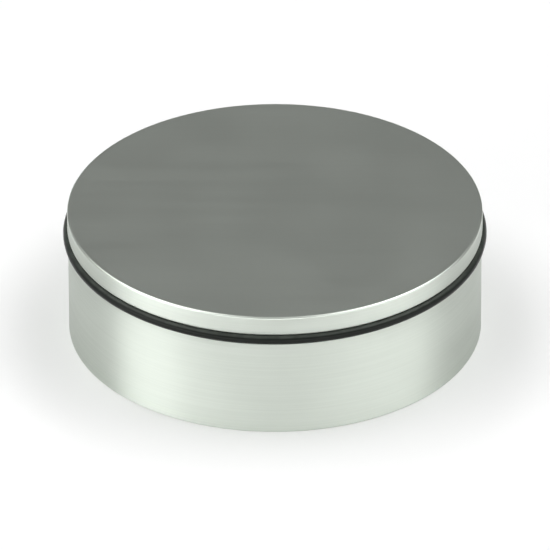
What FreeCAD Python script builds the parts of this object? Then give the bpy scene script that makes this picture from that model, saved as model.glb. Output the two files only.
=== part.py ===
import FreeCAD, Part
import math
import os

import Sketcher

# Round slip-lid tin: a drawn body, a rubber sealing ring on its shoulder and a drawn lid.
#
# Millimetres, +Z up. The origin is the middle of the base, on the surface that the tin stands on.
# A piece of sheet metal starts as an outline of its outer surface, from the axis to its cut edge.
# The outline is thickened inwards by the sheet, and that section is turned about Z.

doc = FreeCAD.newDocument("SlipLidTin")


# ---- driving dimensions -------------------------------------------------------------------------

SIZES = [
    ("ground", "0", "height of the surface that the tin stands on"),
    ("wall_radius", "52.0", "outer radius of the body's wall"),
    ("total_height", "33.5", "from the ground to the top of the lid"),
    ("sheet", "0.3", "thickness of the sheet metal"),
    ("base_recess", "1.0", "height of the base panel above the ground"),
    ("panel_radius", "48.5", "outer radius of the raised base panel"),
    ("panel_bend", "0.3", "bend from the base panel down to the stand ring"),
    ("stand_bend", "0.5", "bend from there out to the flat of the stand ring"),
    ("base_edge", "0.4", "bend from the stand ring up to the wall"),
    ("shoulder_height", "25.86", "height of the shoulder under the ring"),
    ("shoulder_edge", "0.5", "bend from the wall in to the shoulder"),
    ("neck_step", "1.32", "how far the neck is set in from the wall"),
    ("neck_root", "0.35", "bend from the shoulder up to the neck"),
    ("rim_curl", "0.6", "outer radius of the curl at the rim"),
    ("rim_headroom", "0.35", "from the rim up to the underside of the lid"),
    ("ring_radius", "52.0", "radius of the circle that the ring's cord follows"),
    ("cord_radius", "1.25", "radius of the cord"),
    ("seat_gap", "0.06", "clearance between the ring and the metal above and below it"),
    ("lid_radius", "52.2", "outer radius of the lid's skirt"),
    ("lid_edge", "0.5", "bend from the lid's top down to its skirt"),
    ("lid_curl", "0.7", "outer radius of the curl at the skirt's lower edge"),
    # The ring lies on the bend of the shoulder, and the curl of the lid lies on the ring.
    ("neck_radius", "=wall_radius - neck_step", "outer radius of the neck"),
    ("rim_curl_height", "=total_height - sheet - rim_headroom - rim_curl", "middle of the rim's curl"),
    ("seat_reach", "=cord_radius + shoulder_edge + seat_gap", "middle of the cord to middle of the bend"),
    ("seat_inset", "=ring_radius - wall_radius + shoulder_edge", "the same, measured across"),
    (
        "ring_height",
        "=shoulder_height - shoulder_edge + sqrt(seat_reach ^ 2 - seat_inset ^ 2)",
        "middle of the cord",
    ),
    ("curl_reach", "=cord_radius + lid_curl + seat_gap", "middle of the cord to middle of the lid's curl"),
    ("curl_inset", "=ring_radius - lid_radius + lid_curl", "the same, measured across"),
    ("lid_curl_height", "=ring_height + sqrt(curl_reach ^ 2 - curl_inset ^ 2)", "middle of the lid's curl"),
]


def make_sheet():
    """The spreadsheet that every piece is bound to."""
    sheet = doc.addObject("Spreadsheet::Sheet", "Sizes")
    for row, (alias, content, meaning) in enumerate(SIZES, start=1):
        sheet.set(f"A{row}", alias)
        sheet.set(f"B{row}", content)
        sheet.set(f"C{row}", meaning)
        sheet.setAlias(f"B{row}", alias)
    doc.recompute()
    return sheet


sizes = make_sheet()


def size(alias):
    """A cell's value now, so that a sketch is drawn near its solved shape."""
    return float(sizes.get(alias))


# ---- outlines -----------------------------------------------------------------------------------

START, END, CENTRE = 1, 2, 3
ORIGIN, Z_AXIS = -1, -2
OUT_OF_SKETCH = FreeCAD.Vector(0, 0, 1)


def new_sketch(name):
    """A sketch in the XZ plane: across it is the radius, and up it is the height."""
    sketch = doc.addObject("Sketcher::SketchObject", name)
    stand_up = FreeCAD.Rotation(FreeCAD.Vector(1, 0, 0), 90)
    sketch.Placement = FreeCAD.Placement(FreeCAD.Vector(), stand_up)
    return sketch


def bind(sketch, alias, kind, *where):
    """Adds a dimension to the sketch and ties it to the cell of the same name."""
    number = sketch.addConstraint(Sketcher.Constraint(kind, *where, size(alias)))
    sketch.renameConstraint(number, f"{alias}_{number}")
    sketch.setExpression(f"Constraints[{number}]", f"Sizes.{alias}")


def add_leg(sketch, start, end, place, level):
    """A straight leg. A level one is placed by its height, and an upright one by its radius."""
    leg = sketch.addGeometry(Part.LineSegment(start, end), False)
    sketch.addConstraint(Sketcher.Constraint("Horizontal" if level else "Vertical", leg))
    bind(sketch, place, "DistanceY" if level else "DistanceX", ORIGIN, START, leg, START)
    return leg


def add_arc(sketch, centre, radius, start, degrees):
    """An arc that runs from a point through some degrees, to the left if they are positive.

    Returns the arc, then which of its ends it starts from and which it finishes at.
    """
    bend = size(radius)
    first = math.atan2(start.y - centre.y, start.x - centre.x)
    last = first + math.radians(degrees)
    circle = Part.Circle(centre, OUT_OF_SKETCH, bend)
    arc = sketch.addGeometry(Part.ArcOfCircle(circle, min(first, last), max(first, last)), False)
    bind(sketch, radius, "Radius", arc)
    return (arc, START, END) if degrees > 0 else (arc, END, START)


def corner_points(places, end_height):
    """Where the legs would meet with no bends. They are level and upright in turn, level first."""
    values = [size(place) for place in places]
    points = [FreeCAD.Vector(0, values[0], 0)]
    for index, (here, following) in enumerate(zip(values, values[1:])):
        level = index % 2 == 0
        points.append(FreeCAD.Vector(following, here, 0) if level else FreeCAD.Vector(here, following, 0))
    points.append(FreeCAD.Vector(values[-1], size(end_height), 0))
    return points


def sheet_outline(name, places, bends, curl, curl_height):
    """The outer surface of a piece of sheet metal, from the axis to the end of its curled edge.

    places: what places each leg, level and upright in turn. bends: the radius between each leg and
    the next. The last leg is upright and runs into a curl of three quarters of a turn towards the axis.
    """
    sketch = new_sketch(name)
    points = corner_points(places, curl_height)
    courses = [(after - before).normalize() for before, after in zip(points, points[1:])]
    radii = [0] + [size(bend) for bend in bends] + [0]

    legs = []
    for index, place in enumerate(places):
        start = points[index] + courses[index] * radii[index]
        end = points[index + 1] - courses[index] * radii[index + 1]
        legs.append(add_leg(sketch, start, end, place, level=index % 2 == 0))

    for index, bend in enumerate(bends):
        before, after = courses[index], courses[index + 1]
        start = points[index + 1] - before * size(bend)
        degrees = 90 if before.cross(after).z > 0 else -90
        arc, near, far = add_arc(sketch, start + after * size(bend), bend, start, degrees)
        sketch.addConstraint(Sketcher.Constraint("Tangent", legs[index], END, arc, near))
        sketch.addConstraint(Sketcher.Constraint("Tangent", arc, far, legs[index + 1], START))

    edge = points[-1]
    middle = edge - FreeCAD.Vector(size(curl), 0, 0)
    arc, near, far = add_arc(sketch, middle, curl, edge, 270 * courses[-1].y)
    sketch.addConstraint(Sketcher.Constraint("Tangent", legs[-1], END, arc, near))
    sketch.addConstraint(Sketcher.Constraint("Vertical", arc, far, arc, CENTRE))
    bind(sketch, curl_height, "DistanceY", ORIGIN, START, arc, CENTRE)
    sketch.addConstraint(Sketcher.Constraint("PointOnObject", legs[0], START, Z_AXIS))
    return sketch


# ---- pieces -------------------------------------------------------------------------------------


def spin_sheet(node, outline, thicken):
    """Thickens an outline into a section and turns it about Z. thicken is 1 or -1, whichever is inwards."""
    section = doc.addObject("Part::Offset2D", f"{node}_section")
    section.Source = outline
    section.Mode = "Skin"
    section.Fill = True
    section.setExpression("Value", f"{thicken} * Sizes.sheet")

    shell = doc.addObject("Part::Revolution", node)
    shell.Label = node
    shell.Source = section
    shell.Axis = FreeCAD.Vector(0, 0, 1)
    shell.Angle = 360
    shell.Solid = True
    return shell


def make_body():
    """The drawn body: raised base panel, stand ring, wall, shoulder, neck and curled rim."""
    outline = sheet_outline(
        "body_outline",
        places=["base_recess", "panel_radius", "ground", "wall_radius", "shoulder_height", "neck_radius"],
        bends=["panel_bend", "stand_bend", "base_edge", "shoulder_edge", "neck_root"],
        curl="rim_curl",
        curl_height="rim_curl_height",
    )
    return spin_sheet("tin_body", outline, thicken=1)


def make_ring():
    """The rubber ring of round cord that lies between the shoulder and the lid."""
    ring = doc.addObject("Part::Torus", "seal_ring")
    ring.Label = "seal_ring"
    ring.setExpression("Radius1", "Sizes.ring_radius")
    ring.setExpression("Radius2", "Sizes.cord_radius")
    ring.setExpression("Placement.Base.z", "Sizes.ring_height")
    return ring


def make_lid():
    """The drawn lid: flat top, short skirt and an inward curl that slides over the neck."""
    outline = sheet_outline(
        "lid_outline",
        places=["total_height", "lid_radius"],
        bends=["lid_edge"],
        curl="lid_curl",
        curl_height="lid_curl_height",
    )
    return spin_sheet("lid", outline, thicken=-1)


# ---- build, check and write ---------------------------------------------------------------------


def check(pieces):
    """Stops if a sketch isn't fully bound, an object failed, or a piece isn't one valid solid."""
    for item in doc.Objects:
        if {"Invalid", "Error"} & set(item.State):
            raise RuntimeError(f"{item.Name} failed: {item.State}")
        if item.TypeId == "Sketcher::SketchObject" and not item.FullyConstrained:
            raise RuntimeError(f"{item.Name} isn't fully constrained")
    for piece in pieces:
        shape = piece.Shape
        if shape.isNull() or not shape.isValid() or len(shape.Solids) != 1:
            raise RuntimeError(f"{piece.Label} isn't one valid solid")
        box = shape.optimalBoundingBox()
        heights = f"{box.ZMin:.2f} to {box.ZMax:.2f}"
        print(f"{piece.Label}: {shape.Volume:.1f} mm3, radius {box.XMax:.2f}, height {heights}")


os.makedirs("parts", exist_ok=True)
pieces = [make_body(), make_ring(), make_lid()]
doc.recompute()
check(pieces)
for piece in pieces:
    piece.Shape.exportStep(f"parts/{piece.Label}.step")
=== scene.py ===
import math

import bpy
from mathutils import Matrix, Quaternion, Vector


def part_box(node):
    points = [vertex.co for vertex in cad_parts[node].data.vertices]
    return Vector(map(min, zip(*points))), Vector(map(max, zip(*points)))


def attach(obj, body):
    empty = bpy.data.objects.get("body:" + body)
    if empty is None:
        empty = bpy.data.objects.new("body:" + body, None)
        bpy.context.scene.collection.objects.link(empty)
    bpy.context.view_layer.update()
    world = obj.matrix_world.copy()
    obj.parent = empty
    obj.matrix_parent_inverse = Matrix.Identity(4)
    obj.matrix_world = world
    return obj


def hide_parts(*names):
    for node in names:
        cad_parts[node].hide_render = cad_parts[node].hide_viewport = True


# Round slip-lid tin: satin tinplate body and lid, with a black rubber ring between them.
#
# Everything is in metres in the CAD's frame. Sections are drawn in millimetres, and lathe() converts them.

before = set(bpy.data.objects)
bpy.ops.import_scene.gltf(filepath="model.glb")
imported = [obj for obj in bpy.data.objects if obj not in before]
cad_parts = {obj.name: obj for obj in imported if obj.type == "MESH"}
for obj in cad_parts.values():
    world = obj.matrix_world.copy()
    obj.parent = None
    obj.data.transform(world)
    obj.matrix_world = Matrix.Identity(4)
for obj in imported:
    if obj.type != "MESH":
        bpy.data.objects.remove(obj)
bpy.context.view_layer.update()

MM = 0.001


# ---- sizes, in millimetres ----------------------------------------------------------------------
# Outer sizes come from the frame. The sheet metal's thickness, bends and steps are the part's own.

body_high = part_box("tin_body")[1] / MM
ring_low, ring_high = (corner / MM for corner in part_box("seal_ring"))
lid_low, lid_high = (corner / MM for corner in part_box("lid"))

WALL_RADIUS = body_high.x
LID_RADIUS = lid_high.x
CORD_RADIUS = (ring_high.z - ring_low.z) / 2
RING_RADIUS = ring_high.x - CORD_RADIUS
RING_HEIGHT = (ring_high.z + ring_low.z) / 2

SHEET = 0.3
BASE_RECESS = 1.0
PANEL_RADIUS = 48.5
PANEL_BEND = 0.3
STAND_BEND = 0.5
BASE_EDGE = 0.4
SHOULDER_HEIGHT = 25.86
SHOULDER_EDGE = 0.5
NECK_RADIUS = WALL_RADIUS - 1.32
NECK_ROOT = 0.35
RIM_CURL = 0.6
LID_EDGE = 0.5
LID_CURL = 0.7
CURL_TURN = math.radians(270)
MOULD_LINE = 0.03

# How finely the pieces are meshed. A holding loop, this far from each bend, keeps the flats flat beside
# it, and the fan at the middle of a flat panel has this radius.
ROUND_STEPS = 256
CORD_STEPS = 48
BEND_STEP = math.radians(7.5)
HOLD = 0.06
CENTRE_FAN = 5.0

# Points or heights that differ by less than this count as the same.
SLACK = 0.001

# How far down the lid's edge bend the finish of its top carries on, as a share of the bend.
FLAT_BEND_SHARE = 0.3


# ---- half sections ------------------------------------------------------------------------------
# An outline is a list of (point, direction out of the metal) along the outer surface of the sheet.


def bend_points(start, centre, turn, side):
    """The outline round one bend, without its first point."""
    spoke = start - centre
    first = math.atan2(spoke.y, spoke.x)
    count = max(2, round(abs(turn) / BEND_STEP))
    found = []
    for step in range(1, count + 1):
        angle = first + turn * step / count
        ray = Vector((math.cos(angle), math.sin(angle)))
        found.append((centre + ray * spoke.length, ray * math.copysign(1, turn) * side))
    return found


def sheet_outline(corners, bends, curl, side):
    """The outline of a piece of sheet metal, from the axis to its cut edge.

    corners: where the straight legs would meet. bends: the radius at each inner corner. The last leg
    runs into a curl that turns inwards. side: 1 if the metal lies to the left of the outline, else -1.
    """
    courses = [(after - before).normalized() for before, after in zip(corners, corners[1:])]
    radii = [0] + bends + [0]
    outline = []
    for index, course in enumerate(courses):
        away = Vector((course.y, -course.x)) * side
        start = corners[index] + course * radii[index]
        end = corners[index + 1] - course * radii[index + 1]
        hold = min(HOLD, (end - start).length / 3)
        after_start = start + course * (hold if index else CENTRE_FAN)
        outline += [(point, away) for point in (start, after_start, end - course * hold, end)]
        if index < len(bends):
            following = courses[index + 1]
            turn = math.copysign(math.pi / 2, course.cross(following))
            outline += bend_points(end, end + following * bends[index], turn, side)
    edge = corners[-1]
    return outline + bend_points(edge, edge - Vector((curl, 0)), CURL_TURN * side, side)


def sheet_section(outline):
    """The closed section of the sheet: along the outer surface, across the cut edge and back inside."""
    outer = [point for point, _ in outline]
    inner = [point - away * SHEET for point, away in outline]
    section = [outer[0]]
    for point in outer[1:] + inner[::-1]:
        if (point - section[-1]).length > SLACK:
            section.append(point)
    return section


def body_section():
    """The drawn body, from the middle of the base to the curl at the rim."""
    corners = [
        Vector((0, BASE_RECESS)),
        Vector((PANEL_RADIUS, BASE_RECESS)),
        Vector((PANEL_RADIUS, 0)),
        Vector((WALL_RADIUS, 0)),
        Vector((WALL_RADIUS, SHOULDER_HEIGHT)),
        Vector((NECK_RADIUS, SHOULDER_HEIGHT)),
        Vector((NECK_RADIUS, body_high.z - RIM_CURL)),
    ]
    bends = [PANEL_BEND, STAND_BEND, BASE_EDGE, SHOULDER_EDGE, NECK_ROOT]
    return sheet_section(sheet_outline(corners, bends, RIM_CURL, 1))


def lid_section():
    """The drawn lid. It is listed backwards, so that its faces look out as the body's do."""
    corners = [
        Vector((0, lid_high.z)),
        Vector((LID_RADIUS, lid_high.z)),
        Vector((LID_RADIUS, lid_low.z + LID_CURL)),
    ]
    return sheet_section(sheet_outline(corners, [LID_EDGE], LID_CURL, -1))[::-1]


def cord_section():
    """The rubber cord: round, with the fine raised line of the mould's parting all the way round it."""
    section = []
    for step in range(CORD_STEPS):
        angle = 2 * math.pi * step / CORD_STEPS
        on_line = step % (CORD_STEPS // 2) == 0
        radius = CORD_RADIUS - (0 if on_line else MOULD_LINE)
        across = RING_RADIUS + radius * math.cos(angle)
        section.append(Vector((across, RING_HEIGHT + radius * math.sin(angle))))
    return section


# ---- meshes -------------------------------------------------------------------------------------


def lathe(name, section, closed):
    """Turns a section about Z. Unless it is closed, its ends lie on the axis, and each gets a fan."""
    rows = section if closed else section[1:-1]
    points, faces = [], []
    for spot in rows:
        for step in range(ROUND_STEPS):
            angle = 2 * math.pi * step / ROUND_STEPS
            points.append((spot.x * math.cos(angle) * MM, spot.x * math.sin(angle) * MM, spot.y * MM))

    def edge(row, step):
        """Two neighbouring points of a row."""
        first = row % len(rows) * ROUND_STEPS
        return first + step, first + (step + 1) % ROUND_STEPS

    for row in range(len(rows) if closed else len(rows) - 1):
        for step in range(ROUND_STEPS):
            faces.append(edge(row, step) + edge(row + 1, step)[::-1])
    if not closed:
        for end, row in ((section[0], 0), (section[-1], len(rows) - 1)):
            middle = len(points)
            points.append((0, 0, end.y * MM))
            for step in range(ROUND_STEPS):
                pair = edge(row, step)
                faces.append((middle, *(pair if row else pair[::-1])))

    mesh = bpy.data.meshes.new(name)
    mesh.from_pydata(points, [], faces)
    mesh.validate()
    mesh.shade_smooth()
    piece = bpy.data.objects.new(name, mesh)
    bpy.context.scene.collection.objects.link(piece)
    return piece


def finish_sheet(piece, section, round_finish, flat_finish, reach=0.0):
    """Gives the flat panel of a sheet-metal piece one finish, and everything round it another.

    reach: how far above and below the panel its finish carries on, into the bend at its edge, in mm.
    """
    mesh = piece.data
    mesh.materials.append(round_finish)
    mesh.materials.append(flat_finish)
    panel_heights = (section[0].y * MM, section[-1].y * MM)
    for face in mesh.polygons:
        heights = [mesh.vertices[number].co.z for number in face.vertices]
        for panel in panel_heights:
            if all(abs(height - panel) < (reach + SLACK) * MM for height in heights):
                face.material_index = 1


# ---- materials ----------------------------------------------------------------------------------
# Sizes, depths and heights are in millimetres.

# Most of a noise lies between these two values.
NOISE_LOW, NOISE_HIGH = 0.3, 0.7
BUMP_STRENGTH = 0.5

# Clouds and streaks turn the tinplate from silver towards a slightly darker silver, each up to its
# share, and they move the roughness up and down by their wander.
SATIN_SILVER = (0.72, 0.77, 0.705, 1)
TARNISH = 0.95
CLOUD_SIZE = (20, 20, 20)
CLOUD_SHARE, STREAK_SHARE = 0.4, 0.6
CLOUD_WANDER, STREAK_WANDER = 0.01, 0.02
STREAK_DEPTH = 0.001
QUARTER_TURN = 0.25

RUBBER_BLACK = (0.003, 0.005, 0.003, 1)
# A paler grey painted on the cord's upper side as a painted highlight.
RUBBER_PAINTED_HIGHLIGHT = (0.05, 0.058, 0.05, 1)
RUBBER_SPECULAR = 0.2
SMOOTHEST, ROUGHEST = 0.32, 0.4
MOTTLE_SIZE = (3, 3, 3)
PORE_SIZE = (0.35, 0.35, 0.35)
PORE_DEPTH = 0.008

# The painted highlight (paler grey painted on the cord's upper side) starts and is full at these heights
# above the middle of the cord. Where the mottle is weakest, it has only this share of its strength.
HIGHLIGHT_START, HIGHLIGHT_FULL = 0.55, 1.05
HIGHLIGHT_LEAST = 0.6


class Graph:
    """Adds nodes to a node tree. An input is a number, a vector or the output of another node."""

    def __init__(self, tree):
        self.tree = tree

    def add(self, kind, inputs, **settings):
        node = self.tree.nodes.new(kind)
        for name, value in settings.items():
            setattr(node, name, value)
        for key, value in inputs.items():
            self.feed(node.inputs[key], value)
        return node

    def feed(self, socket, value):
        if isinstance(value, bpy.types.NodeSocket):
            self.tree.links.new(value, socket)
        else:
            socket.default_value = value

    def compute(self, kind, *values):
        return self.add("ShaderNodeMath", dict(enumerate(values)), operation=kind).outputs[0]

    def vector(self, kind, *values):
        return self.add("ShaderNodeVectorMath", dict(enumerate(values)), operation=kind).outputs

    def remap(self, value, low, high, to_low=0.0, to_high=1.0):
        """Takes low to high smoothly onto to_low to to_high, and holds still outside."""
        inputs = {"Value": value, "From Min": low, "From Max": high, "To Min": to_low, "To Max": to_high}
        return self.add("ShaderNodeMapRange", inputs, interpolation_type="SMOOTHSTEP").outputs[0]

    def noise(self, place, grain, detail=2.0, roughness=0.5):
        """Noise between 0 and 1. grain: its size along X, Y and Z."""
        scale = Vector([1 / (size * MM) for size in grain])
        spread = self.vector("MULTIPLY", place, scale)["Vector"]
        inputs = {"Vector": spread, "Scale": 1.0, "Detail": detail, "Roughness": roughness}
        return self.add("ShaderNodeTexNoise", inputs).outputs["Fac"]

    def blend(self, share, first, second):
        """A colour between two, by a share from 0 to 1."""
        node = self.add("ShaderNodeMix", {}, data_type="RGBA")
        for name, value in (("Factor_Float", share), ("A_Color", first), ("B_Color", second)):
            socket = next(entry for entry in node.inputs if entry.identifier == name)
            self.feed(socket, value)
        return next(entry for entry in node.outputs if entry.identifier == "Result_Color")

    def emboss(self, shader, height, depth):
        """Bumps the shader's surface by a height from 0 to 1. depth: the distance of the bump."""
        inputs = {"Strength": BUMP_STRENGTH, "Distance": depth * MM, "Height": height}
        self.feed(shader.inputs["Normal"], self.add("ShaderNodeBump", inputs).outputs["Normal"])


def new_material(name):
    """A material with its graph, its shader and the place in the piece's own frame."""
    material = bpy.data.materials.new(name)
    material.use_nodes = True
    graph = Graph(material.node_tree)
    place = graph.add("ShaderNodeTexCoord", {}).outputs["Object"]
    return material, graph, material.node_tree.nodes["Principled BSDF"], place


def satin_tinplate(name, grain, contrast, roughness, anisotropy):
    """Tinplate with a fine grain, clouded a little by handling.

    grain: the size of its streaks along X, Y and Z. contrast: how plainly they show, from 0 to 1.
    Anisotropy blurs reflections up and down the wall, as a grain that runs round it does.
    """
    material, graph, shader, place = new_material(name)
    streaks = graph.noise(place, grain, detail=3.0, roughness=0.6)
    clouds = graph.noise(place, CLOUD_SIZE)

    def vary(noise, low, high):
        return graph.remap(noise, NOISE_LOW, NOISE_HIGH, low, high)

    tarnished = [channel * TARNISH for channel in SATIN_SILVER[:3]] + [1]
    share = graph.compute("ADD", vary(clouds, 0, CLOUD_SHARE), vary(streaks, 0, STREAK_SHARE * contrast))
    graph.feed(shader.inputs["Base Color"], graph.blend(share, SATIN_SILVER, tarnished))

    streaked = vary(streaks, -STREAK_WANDER * contrast, STREAK_WANDER * contrast)
    uneven = graph.compute("ADD", streaked, vary(clouds, -CLOUD_WANDER, CLOUD_WANDER))
    graph.feed(shader.inputs["Roughness"], graph.compute("ADD", uneven, roughness))
    graph.emboss(shader, streaks, STREAK_DEPTH * contrast)

    shader.inputs["Metallic"].default_value = 1
    shader.inputs["Anisotropic"].default_value = anisotropy
    shader.inputs["Anisotropic Rotation"].default_value = QUARTER_TURN
    return material


def black_rubber():
    """Moulded rubber: nearly black, faintly mottled, with a soft shine and a painted highlight, paler grey,
    on its upper side.
    """
    material, graph, shader, place = new_material("black_rubber")
    mottle = graph.noise(place, MOTTLE_SIZE, detail=3.0)
    pores = graph.noise(place, PORE_SIZE)

    # Painted highlight: the colour turns paler grey towards the top of the cord, where light from above
    # falls.
    height = graph.add("ShaderNodeSeparateXYZ", {"Vector": place}).outputs["Z"]
    start, full = ((RING_HEIGHT + above) * MM for above in (HIGHLIGHT_START, HIGHLIGHT_FULL))
    patchy = graph.remap(mottle, NOISE_LOW, NOISE_HIGH, HIGHLIGHT_LEAST, 1.0)
    painted_highlight = graph.compute("MULTIPLY", graph.remap(height, start, full), patchy)
    graph.feed(shader.inputs["Base Color"], graph.blend(painted_highlight, RUBBER_BLACK, RUBBER_PAINTED_HIGHLIGHT))

    roughness = graph.remap(mottle, NOISE_LOW, NOISE_HIGH, SMOOTHEST, ROUGHEST)
    graph.feed(shader.inputs["Roughness"], roughness)
    graph.emboss(shader, pores, PORE_DEPTH)
    shader.inputs["Specular IOR Level"].default_value = RUBBER_SPECULAR
    return material


# ---- stage --------------------------------------------------------------------------------------
# Distances are in metres. The lens is given by its focal length over the width of the sensor.

FOCAL_OVER_WIDTH = 22.33
CAMERA_DISTANCE = 3.1015
CAMERA_ELEVATION = math.radians(31.41)
CAMERA_ROLL = math.radians(0.15)
CAMERA_RISE = 0.01205

FLOOR_HALF = 15
FLOOR_WHITE = (0.9, 0.9, 0.9, 1)
FLOOR_GLOW = 0.06

# The light comes from all round the tin. Angles are in degrees: azimuth 0 is the front and 90 the
# right, and elevation 0 is level.
AMBIENT = 0.14

# The overhead light: its strength, the elevation at which it starts, its strength in the gap, and where
# the gap's soft edge starts and ends, as the X of a direction one unit long.
OVERHEAD = 2.75
OVERHEAD_EDGE = 50
OVERHEAD_GAP = 0.15
GAP_INNER, GAP_OUTER = 0.15, 0.4

# Each softbox: azimuth, half width, lower edge, upper edge, strength. Then how wide their soft edges are.
SOFTBOXES = [
    (2, 88, -20, 11, 3.8),
    (-68, 14, -20, 23, 1.7),
    (-124, 42, 42, 54, 2.2),
    (121, 50, 45, 60, 2.1),
]
SOFT_SIDES, SOFT_LOWER, SOFT_UPPER = 28, 6, 8


def make_camera():
    """A long lens from a distance, looking down on the tin."""
    data = bpy.data.cameras.new("camera")
    camera = bpy.data.objects.new("camera", data)
    bpy.context.scene.collection.objects.link(camera)
    data.lens = data.sensor_width * FOCAL_OVER_WIDTH
    data.clip_start = 0.1
    data.clip_end = 100
    ahead = Vector((0, math.cos(CAMERA_ELEVATION), -math.sin(CAMERA_ELEVATION)))
    up = Vector((0, math.sin(CAMERA_ELEVATION), math.cos(CAMERA_ELEVATION)))
    camera.location = up * CAMERA_RISE - ahead * CAMERA_DISTANCE
    camera.rotation_mode = "QUATERNION"
    camera.rotation_quaternion = ahead.to_track_quat("-Z", "Y") @ Quaternion((0, 0, 1), -CAMERA_ROLL)
    bpy.context.scene.camera = camera


def make_floor():
    """A plain matt white floor, wide enough to fill the view at a low angle."""
    mesh = bpy.data.meshes.new("floor")
    corners = [(x * FLOOR_HALF, y * FLOOR_HALF, 0) for x, y in ((-1, -1), (1, -1), (1, 1), (-1, 1))]
    mesh.from_pydata(corners, [], [(0, 1, 2, 3)])
    floor = bpy.data.objects.new("floor", mesh)
    bpy.context.scene.collection.objects.link(floor)
    material = bpy.data.materials.new("matt_white")
    material.use_nodes = True
    shader = material.node_tree.nodes["Principled BSDF"]
    shader.inputs["Base Color"].default_value = FLOOR_WHITE
    shader.inputs["Roughness"].default_value = 1
    shader.inputs["Specular IOR Level"].default_value = 0
    shader.inputs["Emission Color"].default_value = (1, 1, 1, 1)
    shader.inputs["Emission Strength"].default_value = FLOOR_GLOW
    mesh.materials.append(material)


def make_studio_light():
    """Soft light on a dim background.

    A low strip reaches across the front, with a smaller box at its left, and there is a box high at
    each side, a little behind. Overhead light comes from the left and right of a dim gap.
    """
    world = bpy.data.worlds.new("studio")
    world.use_nodes = True
    graph = Graph(world.node_tree)
    ray = graph.add("ShaderNodeTexCoord", {}).outputs["Generated"]
    parts = graph.add("ShaderNodeSeparateXYZ", {"Vector": ray}).outputs
    flattened = graph.vector("MULTIPLY", ray, (1, 1, 0))["Vector"]
    level = graph.vector("NORMALIZE", flattened)["Vector"]

    def edge(value, angle, soft, wave):
        """0 to 1 over a soft edge, in the direction in which the wave, a sine or cosine, grows."""
        ends = sorted(wave(math.radians(angle + side * soft / 2)) for side in (-1, 1))
        return graph.remap(value, *ends)

    def softbox(azimuth, half_width, low, high, strength):
        """A box with soft edges, at least 0 and at most its strength."""
        turn = math.radians(azimuth)
        facing = (math.sin(turn), -math.cos(turn), 0)
        match = graph.vector("DOT_PRODUCT", level, facing)["Value"]
        across = edge(match, half_width, SOFT_SIDES, math.cos)
        above_low = edge(parts["Z"], low, SOFT_LOWER, math.sin)
        above_high = edge(parts["Z"], high, SOFT_UPPER, math.sin)
        upright = graph.compute("SUBTRACT", above_low, above_high)
        return graph.compute("MULTIPLY", graph.compute("MULTIPLY", across, upright), strength)

    lean = graph.compute("ABSOLUTE", parts["X"])
    overhead = graph.remap(lean, GAP_INNER, GAP_OUTER, OVERHEAD_GAP, OVERHEAD)
    is_overhead = edge(parts["Z"], OVERHEAD_EDGE, SOFT_UPPER, math.sin)
    total = graph.compute("MULTIPLY_ADD", is_overhead, overhead, AMBIENT)
    for box in SOFTBOXES:
        total = graph.compute("ADD", softbox(*box), total)
    background = world.node_tree.nodes["Background"]
    graph.feed(background.inputs["Strength"], total)
    background.inputs["Color"].default_value = (1, 1, 1, 1)
    bpy.context.scene.world = world


# ---- assembly -----------------------------------------------------------------------------------

make_camera()
make_floor()
make_studio_light()

round_finish = satin_tinplate("satin_round", (40, 40, 0.5), contrast=1.0, roughness=0.45, anisotropy=0.95)
flat_finish = satin_tinplate("satin_flat", (60, 1.5, 60), contrast=0.4, roughness=0.3, anisotropy=0.0)

body_half = body_section()
body = lathe("body_shell", body_half, closed=False)
finish_sheet(body, body_half, round_finish, flat_finish)
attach(body, "tin")
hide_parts("tin_body")

lid_half = lid_section()
lid = lathe("lid_shell", lid_half, closed=False)
finish_sheet(lid, lid_half, round_finish, flat_finish, reach=FLAT_BEND_SHARE * LID_EDGE)
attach(lid, "cover")
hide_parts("lid")

ring = lathe("rubber_ring", cord_section(), closed=True)
ring.data.materials.append(black_rubber())
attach(ring, "ring")
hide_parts("seal_ring")

bpy.context.scene.view_settings.view_transform = "Standard"
